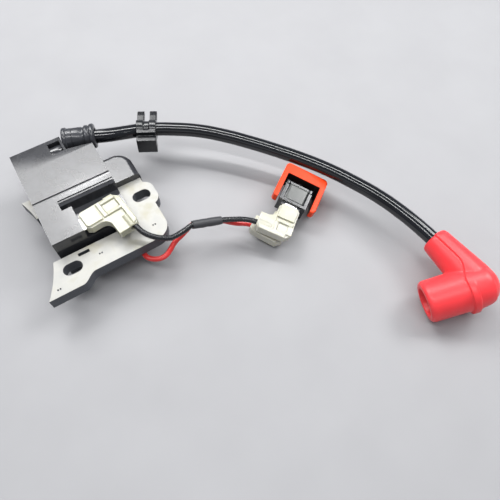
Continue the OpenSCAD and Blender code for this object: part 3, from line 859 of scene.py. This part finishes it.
# ---- grommet ----
def grommet():
    """Strain relief of the lead: turned body with ribs, a step and an end bead."""
    bore = LEAD_D / 2 + 0.05
    profile = [
        (bore, 0), (5.6, 0), (5.9, 0.3), (5.9, 1.6), (5.7, 1.9), (5.35, 2.1), (5.3, 4.6),
        (5.05, 4.75), (5.05, 5.05), (5.3, 5.2), (5.2, 9.6), (5.0, 9.9), (5.0, 10.6),
        (5.45, 10.9), (5.75, 11.3), (5.75, 12.5), (5.4, 12.8), (5.4, 13.4), (5.9, 13.7),
        (6.15, 14.1), (6.15, 15.2), (5.9, 15.6), (4.6, 15.95), (bore + 0.3, 16), (bore, 15.7),
    ]
    bm = bmesh.new()
    add_turned(bm, profile, level_frame(OUTLET, OUTLET_AZ), 72)
    obj = make("lead_grommet", bm)
    smooth_faces(obj, 50)
    return finish_piece(obj, "black_rubber", COIL, "ht_grommet")


# ---- spark plug boot ----
PARTING_AT = 6.4
PARTING_LIFT = 0.4
GROOVE_DEPTH = 0.28
GROOVE_AHEAD = 0.35
GROOVE_WIDTH = 0.28


def raise_back_half(obj):
    """Lifts the half of the boot behind the mould's parting line, which runs along the inlet's
    top and bottom and then across the socket, with a fine groove in front of it."""
    inverse = (Matrix.Scale(MM, 4) @ BOOT_FRAME).inverted()
    bm = bmesh.new()
    bm.from_mesh(obj.data)
    bm.normal_update()
    lean = 1 / math.tan(math.radians(MOUTH_AZ - INLET_AZ))
    for vert in bm.verts:
        local = inverse @ vert.co
        along, across = local.z, -local.y
        blend = smoothstep(1, 14, across)
        line = PARTING_AT * (1 - blend) + across * lean * blend
        beyond = along - line
        behind = 1 - smoothstep(-0.2, 0.2, beyond)
        groove = math.exp(-((beyond - GROOVE_AHEAD) / GROOVE_WIDTH) ** 2)
        vert.co += vert.normal * (behind * PARTING_LIFT - groove * GROOVE_DEPTH) * MM
    bm.to_mesh(obj.data)
    bm.free()


def boot():
    """Socket, domed elbow, tapered inlet and collar in one skin, with the bores cut out."""
    socket = [
        (0, 0), (9.4, 0), (9.8, 3), (9.75, 22.6), (9.55, 23.8), (9, 24.5), (8.4, 24.8), (0, 24.8),
    ]
    elbow = [(9.2 * math.sin(a), -8.2 * math.cos(a)) for a in (k * math.pi / 24 for k in range(25))]
    cap = [(0, -5.5), (5.6, -5.5), (7.2, -5.0), (8.4, -4), (9, -2.4), (9.3, -0.5), (9.5, 2), (0, 2)]
    inlet = [
        (0, 1.5), (8.4, 1.5), (8.5, 4), (6.6, 27), (6.3, 28.2), (5.7, 28.85), (4.8, 29), (0, 29),
    ]
    collar = [(0, 3.5), (10.1, 3.5), (10.3, 3.7), (10.3, 6.6), (10.1, 6.8), (0, 6.8)]
    bm = bmesh.new()
    add_turned(bm, socket, BOOT_FRAME, 72)
    add_turned(bm, elbow, BOOT_FRAME, 72)
    add_turned(bm, cap, BOOT_FRAME, 72)
    add_turned(bm, inlet, INLET_FRAME, 72)
    add_turned(bm, collar, BOOT_FRAME @ Matrix.Translation((0.25, 0.5, 0)), 72)
    obj = fuse(make("plug_boot", bm), 0.33, 5)
    raise_back_half(obj)
    plug_bore = [(0, 8), (6.5, 8), (6.5, 24.2), (6.7, 24.6), (7.1, 25.2), (0, 25.2)]
    cut_turned(obj, plug_bore, BOOT_FRAME, 72)
    cut_turned(obj, [(0, -2), (4.4, -2), (4.4, 8.5), (0, 8.5)], BOOT_FRAME, 48)
    cut_turned(obj, [(0, 3), (3.52, 3), (3.52, 30), (0, 30)], INLET_FRAME, 48)
    smooth_faces(obj, 45)
    return finish_piece(obj, "red_rubber", COIL, "spark_plug_boot")


# ---- flag covers ----
FLAG_HALF = 5.3
WIRE_INSET = 3.4


def flag_outline(length, wing_w, wing_y):
    """An L: along X over the blade, and then down a wing to wing_y, where the wire leaves."""
    wing_x = length - wing_w
    fillet = arc((wing_x - 4, -FLAG_HALF - 4), 4, 0, 90, 6)
    return [
        (0, -FLAG_HALF + 1.5), (0, FLAG_HALF - 1.4), (1.4, FLAG_HALF), (length - 2.6, FLAG_HALF),
        (length, FLAG_HALF - 2.6), (length, wing_y + 1.6), (length - 1.6, wing_y),
        (wing_x, wing_y), *fillet, (2, -FLAG_HALF),
    ]


def flag_cover(name, place, node, length, wing_w, wing_y):
    """Moulded cover of a spade terminal: thin shell with a raised barrel, ribs and a window."""
    bm = bmesh.new()
    half = FLAG_HALF
    wire_x = length - WIRE_INSET
    add_prism(bm, flag_outline(length, wing_w, wing_y), -2.6, 1.6)
    # rim along the far side and down the wing
    rim = [
        (length - 2.4, wing_y + 0.5), (length, wing_y + 1.8), (length, 2.4), (length - 2.4, 2.4),
    ]
    add_prism(bm, rim, 1, 2.3)
    add_block(bm, length - 7, length - 2.4, half - 1.3, half, 1, 2.2)
    # raised barrel over the blade, and the bar across it
    barrel = [(0.6, -3.6), (1.6, -4.4), (8.2, -4.4), (8.2, 4.2), (1.6, 4.2), (0.6, 3.4)]
    add_prism(bm, barrel, 1, 2.6)
    add_block(bm, 9.2, 10.9, -4.2, 4.4, 1, 2.5)
    # frame of the window behind the bar
    add_block(bm, 10.4, length - 2.2, 2.6, 4.4, 1, 2.3)
    add_block(bm, 10.4, length - 2.2, -4.2, -2.6, 1, 2.3)
    # sleeve of the wire
    add_turned(
        bm, [(0, 0), (2.1, 0), (2.3, 0.4), (2.3, 7), (0, 7)],
        Matrix.Translation((wire_x, wing_y, -0.2)) @ TO_Y, 40,
    )
    obj = fuse(make(name, bm), 0.2, 3)
    half_mouth = BLADE_W / 2 + 0.4
    cut_block(obj, -1, 6, -half_mouth, half_mouth, -1.1, 1.1)
    cut_turned(
        obj, [(0, 0), (1.32, 0), (1.32, 7), (0, 7)],
        Matrix.Translation((wire_x, wing_y - 1, 0)) @ TO_Y, 32,
    )
    move_to(obj, place)
    smooth_faces(obj, 50)
    return finish_piece(obj, "cream_nylon", COIL, node)


# ---- cable clip ----
def cable_clip():
    """Snap-on clip: two round bands on a narrower sleeve, horns beyond and a block on this side."""
    bm = bmesh.new()
    bore = LEAD_D / 2 + 0.03
    ring = [(bore, -5.1), (4.95, -5.1), (5, -4.9), (5, -1.7), (4.9, -1.5), (4.3, -1.4),
            (4.3, 1.4), (4.9, 1.5), (5, 1.7), (5, 4.9), (4.95, 5.1), (bore, 5.1)]
    add_turned(bm, ring, FLAT, 72)
    horn = [
        (-1.2, 3.6), (1.5, 3.6), (1.6, 8.4), (1.5, 12.2), (0.9, 12.4), (-0.8, 12.2), (-1.2, 9),
    ]
    for low in (-5.1, 1.4):
        add_prism(bm, horn, low, low + 3.7)
    add_block(bm, -1.5, 7.5, -9.1, -4.6, -5.05, 5.05)
    add_block(bm, -3.7, 3.7, -5.4, -3.4, -5, 5)
    obj = fuse(make("lead_clip", bm, level_frame(CLIP, CLIP_AZ, -3)), 0.2, 2)
    smooth_faces(obj, 60)
    return finish_piece(obj, "clip_nylon", COIL, "cable_clip")


# ---- stop switch ----
def switch_cap():
    """U-shaped push cap: thick bar with rounded corners, two tapering cheeks and a stem."""
    half_w, half_h, length = 11.5, 6.2, 21.5
    bar, inner = CAP_BAR, CAP_INNER
    outline = [
        (length, -inner), (bar, -inner), (bar, inner), (length, inner),
        (length, half_w - 0.9), (length - 1.4, half_w),
        *arc((2.2, half_w - 2.2), 2.2, 90, 180, 6),
        *arc((2.2, -half_w + 2.2), 2.2, 180, 270, 6),
        (length - 1.4, -half_w), (length, -half_w + 0.9),
    ]
    bm = bmesh.new()
    add_prism(bm, outline, -half_h, half_h)
    obj = make("push_cap", bm)
    under = bmesh.new()
    slope = [(bar + 3, -half_h - 0.01), (length + 1, 1.7), (length + 1, -9), (bar + 3, -9)]
    add_section(under, slope, -20, 20)
    cut(obj, under)
    stem = bmesh.new()
    add_turned(
        stem, [(0, 0), (1.8, 0), (1.8, 4.75), (0, 4.75)],
        Matrix.Translation((bar - 0.2, BODY_V, 0)) @ TO_X, 40,
    )
    combine(obj, make("stem", stem), "UNION")
    fuse(obj, 0.25, 3)
    move_to(obj, SWITCH_FRAME)
    smooth_faces(obj, 50)
    return finish_piece(obj, "orange_plastic", BUTTON, "switch_cap")


def switch_body():
    """Hollow black body with side rails, two end bars, corner posts and the terminal block."""
    near, far = 8.85, 21.1
    bm = bmesh.new()
    add_block(bm, near, far, -7.25, 7.25, -5.5, 3.7)
    add_block(bm, near, far, -7.25, -5.3, 3.5, 5.0)
    add_block(bm, near, far, 5.5, 7.25, 3.5, 5.0)
    add_block(bm, near, near + 1.4, -7.25, 7.25, 3.5, 4.6)
    add_block(bm, far - 1.4, far, -7.25, 7.25, 3.5, 5.0)
    for side in (-1, 1):
        add_block(bm, near + 0.6, near + 2.4, side * 6.2 - 0.7, side * 6.2 + 0.7, 4.9, 5.45)
    add_block(bm, far - 0.3, far + 1.75, -5.1, 5.1, -5.1, 3.5)
    obj = fuse(make("switch_case", bm), 0.2, 2)
    cut_turned(obj, [(0, 8), (2.1, 8), (2.1, 11.5), (0, 11.5)], TO_X, 40)
    cut_block(obj, near + 1.75, far - 1.8, -5.5, 5.5, -3.7, 3.3)
    slots = bmesh.new()
    for side in (-1, 1):
        level = side * BLADE_GAP
        add_block(slots, far - 2.2, far + 3, -3.2, 3.2, level - 0.45, level + 0.45)
    cut(obj, slots)
    move_to(obj, BODY_FRAME)
    smooth_faces(obj, 50)
    finish_piece(obj, "black_plastic", COIL, "switch_body")


def switch_panel():
    """Glossy grey lid in a shallow frame."""
    bm = bmesh.new()
    add_prism(bm, [(10.3, -4.7), (19.7, -4.5), (19.7, 4.9), (10.3, 5.2)], 3.75, 4.6)
    add_prism(bm, [(10.9, -4.2), (19.2, -4.0), (19.2, 4.5), (10.9, 4.8)], 4.5, 4.85)
    obj = fuse(make("switch_panel", bm), 0.15, 2)
    move_to(obj, BODY_FRAME)
    smooth_faces(obj, 50)
    finish_piece(obj, "grey_plastic", COIL, "switch_lid")


# ---- shrink sleeve ----
def shrink_sleeve():
    """Tube shrunk round the two wires: a flat oval that draws in at its ends."""
    start, end = Vector(SLEEVE_ENDS[0]), Vector(SLEEVE_ENDS[1])
    ahead = (end - start).normalized()
    level_side = Vector((0, 0, 1)).cross(ahead).normalized()
    across = Matrix.Rotation(math.radians(SLEEVE_ROLL), 3, ahead) @ level_side
    up = across.cross(ahead)
    stations, sides = 16, 40
    half_wide, half_tall = 3.5, 2.25
    rings = []
    for i in range(stations + 1):
        t = i / stations
        pinch = 0.16 * math.cos(2 * math.pi * t) ** 8 + 0.05 * math.sin(9 * t)
        centre = start.lerp(end, t)
        ring = []
        for k in range(sides):
            a = 2 * math.pi * k / sides
            c, s = math.cos(a), math.sin(a)
            waist = 0.12 * math.exp(-(c * 3) ** 2)
            wide = math.copysign(abs(c) ** 0.8, c) * (half_wide - pinch)
            tall = math.copysign(abs(s) ** 0.9, s) * (half_tall - pinch - waist)
            ring.append(centre + across * wide + up * tall)
        rings.append(ring)
    bm = bmesh.new()
    add_loft(bm, rings)
    obj = make("sleeve", bm)
    smooth_faces(obj, 60)
    finish_piece(obj, "shrink_sleeve", COIL, "wire_sleeve")


# ---- pieces that keep their CAD shape ----
def carried_over():
    """Hidden CAD nodes get a material, and the others also get soft edges."""
    for node, obj in frame["nodes"].items():
        obj.data.materials.clear()
        obj.data.materials.append(LOOKS[SLOTS[node]])
    for node, name, width, segments in (
        ("coil_blade", "blade_of_coil", 0.1, 2),
        ("coil_receptacle", "receptacle_of_coil", 0.2, 2),
        ("upper_receptacle", "receptacle_upper", 0.2, 2),
        ("lower_receptacle", "receptacle_lower", 0.2, 2),
        ("upper_blade", "blade_upper", 0.1, 2),
        ("lower_blade", "blade_lower", 0.1, 2),
        ("ground_tab", "tab_of_ground", 0.12, 2),
        ("ground_rivet", "rivet_of_ground", 0.25, 3),
        ("plug_terminal_clip", "clip_of_plug_terminal", 0.12, 2),
    ):
        finish_piece(soften(copy_node(node, name), width, segments), SLOTS[node], COIL, node)


core()
housing()
grommet()
boot()
flag_cover("flag_on_coil", COIL_FLAG_FRAME, "coil_flag_cover", 20.5, 10.2, -15.5)
flag_cover("flag_upper", UPPER_FLAG_FRAME, "upper_flag_cover", 18, 9, -12.4)
flag_cover("flag_lower", LOWER_FLAG_FRAME, "lower_flag_cover", 18, 9, -12.4)
cable_clip()
switch_cap()
switch_body()
switch_panel()
shrink_sleeve()
carried_over()
add_cords()


# ---- floor and light ----
def floor():
    """A plain pale slab with its top at height 0."""
    bm = bmesh.new()
    reach = 3000
    add_block(bm, -reach, reach, -reach, reach, -20, 0)
    obj = make("floor", bm)
    look = Look("pale_floor").colour(40, tones((0.33, 0.33, 0.34), 0.02)).roughness(30, 0.7, 0.8)
    obj.data.materials.append(look.material)


def softbox(name, at, target, size, radiance, turn=0):
    """A rectangular lamp in metres that faces the target, turned about its own axis."""
    data = bpy.data.lights.new(name, "AREA")
    data.shape = "RECTANGLE"
    data.size, data.size_y = size
    data.energy = radiance * math.pi * size[0] * size[1]
    lamp = bpy.data.objects.new(name, data)
    facing = (Vector(target) - Vector(at)).to_track_quat("-Z", "Y").to_matrix().to_4x4()
    spin = Matrix.Rotation(math.radians(turn), 4, "Z")
    lamp.matrix_world = Matrix.Translation(at) @ facing @ spin
    bpy.context.scene.collection.objects.link(lamp)


def strip(name, at, azimuth, size, radiance):
    """A lamp that faces straight down, with its length along the azimuth."""
    at = Vector(at)
    softbox(name, at, at - Vector((0, 0.001, 1)), size, radiance, azimuth)


def light():
    """A large key lamp, two narrow strips for the highlights, weak fill and a lamp behind."""
    world = bpy.data.worlds.new("studio")
    world.use_nodes = True
    background = world.node_tree.nodes["Background"]
    background.inputs["Color"].default_value = (0.86, 0.90, 1.0, 1)
    background.inputs["Strength"].default_value = 0.24
    bpy.context.scene.world = world
    softbox("key", (-0.46, 0.01, 0.60), (-0.02, 0.02, 0), (0.50, 0.40), 6.5)
    strip("far_strip", (-0.15, 0.26, 0.60), 41, (0.80, 0.05), 26)
    strip("near_strip", (0.11, -0.10, 0.60), 41, (0.80, 0.035), 26)
    softbox("front", (0.42, -0.34, 0.22), (0.04, 0.05, 0), (0.60, 0.24), 0.45)
    softbox("back", (0.06, 0.66, 0.60), (0.08, 0.10, 0), (0.40, 0.22), 12)
    bpy.context.scene.view_settings.view_transform = "Standard"


floor()
light()
